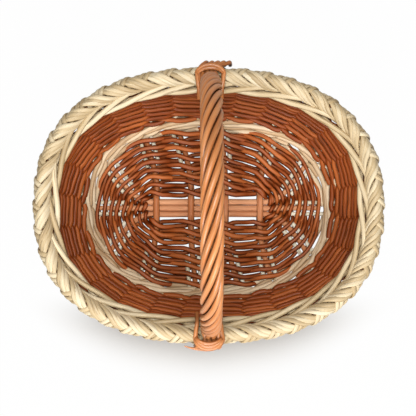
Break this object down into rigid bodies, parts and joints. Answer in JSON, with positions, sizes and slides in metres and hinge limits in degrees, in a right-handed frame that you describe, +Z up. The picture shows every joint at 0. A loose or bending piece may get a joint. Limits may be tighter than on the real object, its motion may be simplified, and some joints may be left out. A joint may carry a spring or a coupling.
{
  "type": "oval wicker basket",
  "caption": "Oval open willow basket with flared randed side, plaited border, dark woven base and one fixed roped bow handle across the short way",
  "frame": {"origin": "middle of the oval footprint, on the ground", "axes": "+X along the oval's long way, +Y along the short way that the handle crosses, +Z up out of the basket's mouth"},
  "size_m": [0.45, 0.3692, 0.3289],
  "materials": {
    "brown_sticks": "buff brown willow sticks, smooth, satin",
    "brown_weave": "buff brown willow rods, woven, satin",
    "peeled_stakes": "peeled white willow, smooth, satin",
    "peeled_weave": "peeled white willow, waled and plaited, satin",
    "handle_rods": "buff willow rods, glossier than the side"
  },
  "bodies": {
    "root": {"base_cross_stick_1": "brown_sticks", "base_cross_stick_2": "brown_sticks", "base_cross_stick_3": "brown_sticks", "base_cross_stick_4": "brown_sticks", "base_long_stick_1": "brown_sticks", "base_long_stick_2": "brown_sticks", "base_long_stick_3": "brown_sticks", "base_weave": "brown_weave", "side_weave": "brown_weave", "side_stake_01": "peeled_stakes", "side_stake_02": "peeled_stakes", "side_stake_03": "peeled_stakes", "side_stake_04": "peeled_stakes", "side_stake_05": "peeled_stakes", "side_stake_06": "peeled_stakes", "side_stake_07": "peeled_stakes", "side_stake_08": "peeled_stakes", "side_stake_09": "peeled_stakes", "side_stake_10": "peeled_stakes", "side_stake_11": "peeled_stakes", "side_stake_12": "peeled_stakes", "side_stake_13": "peeled_stakes", "side_stake_14": "peeled_stakes", "side_stake_15": "peeled_stakes", "side_stake_16": "peeled_stakes", "side_stake_17": "peeled_stakes", "side_stake_18": "peeled_stakes", "side_stake_19": "peeled_stakes", "side_stake_20": "peeled_stakes", "side_stake_21": "peeled_stakes", "side_stake_22": "peeled_stakes", "side_stake_23": "peeled_stakes", "side_stake_24": "peeled_stakes", "side_stake_25": "peeled_stakes", "side_stake_26": "peeled_stakes", "upsett_wale": "peeled_weave", "border_leaning_rods": "peeled_weave", "border_plait": "peeled_weave", "handle_bow": "handle_rods", "handle_strand_1": "handle_rods", "handle_strand_2": "handle_rods", "handle_strand_3": "handle_rods", "handle_strand_4": "handle_rods", "handle_strand_5": "handle_rods", "handle_strand_6": "handle_rods", "handle_strand_7": "handle_rods", "handle_collar_front": "handle_rods", "handle_collar_back": "handle_rods"}
  },
  "joints": []
}
